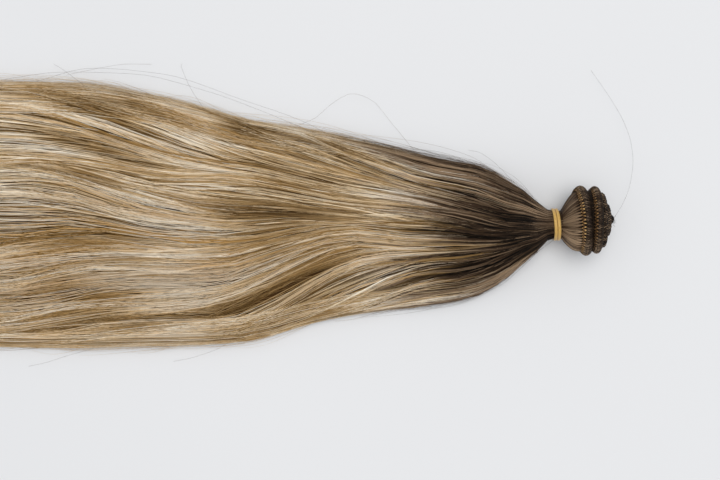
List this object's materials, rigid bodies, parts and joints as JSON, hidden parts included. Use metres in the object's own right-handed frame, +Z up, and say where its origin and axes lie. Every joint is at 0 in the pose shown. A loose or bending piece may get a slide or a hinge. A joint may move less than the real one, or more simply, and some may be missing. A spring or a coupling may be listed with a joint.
{
  "type": "weft hair extension",
  "caption": "Long loose hair spread on a table, held by a doubled elastic beside a sewn weft rolled up into a stepped, conical coil.",
  "frame": {"origin": "middle of the whole part's footprint, on the surface it lies on", "axes": "+X from the hair's tips towards the rolled weft, +Z up, +Y to the left when looking from the tips to the weft"},
  "size_m": [0.5288, 0.1752, 0.0443],
  "materials": {
    "hair_fall": "satin, straight human hair, blond with darker streaks",
    "elastic_band": "satin, golden yellow rubber",
    "rolled_roots": "satin, ash brown hair roots",
    "weft_edge": "matte, dark brown machine-sewn weft"
  },
  "bodies": {
    "root": {"hair_fall": "hair_fall", "elastic_band": "elastic_band", "rolled_roots": "rolled_roots", "weft_edge": "weft_edge"}
  },
  "joints": []
}
